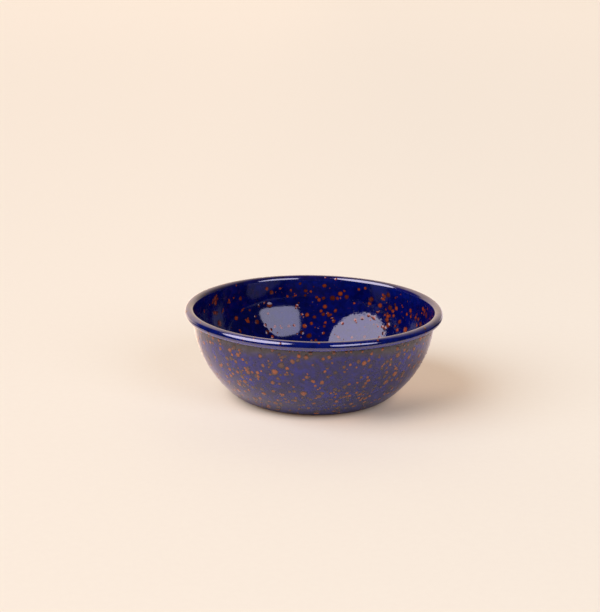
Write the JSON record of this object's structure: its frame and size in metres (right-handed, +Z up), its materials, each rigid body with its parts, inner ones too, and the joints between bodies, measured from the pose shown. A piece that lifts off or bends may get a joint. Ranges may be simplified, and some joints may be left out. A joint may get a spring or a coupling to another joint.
{
  "type": "enamel basin bowl",
  "caption": "Round deep-sided steel bowl with a flat base and an outward rolled rim, coated in glossy cobalt blue vitreous enamel speckled with rust-orange flecks.",
  "frame": {"origin": "on the bowl's axis, in the plane of the flat ring that it stands on", "axes": "+Z up along the bowl's axis of revolution; X and Y are free because the bowl is round, and the picture looks along +Y"},
  "size_m": [0.16, 0.16, 0.0565],
  "materials": {
    "sheet_steel": "satin",
    "blue_enamel": "polished",
    "fleck_enamel": "gloss"
  },
  "bodies": {
    "root": {"steel_bowl": "sheet_steel", "inner_enamel": "blue_enamel", "outer_enamel": "blue_enamel", "base_enamel": "blue_enamel", "rim_enamel": "blue_enamel"}
  },
  "joints": []
}
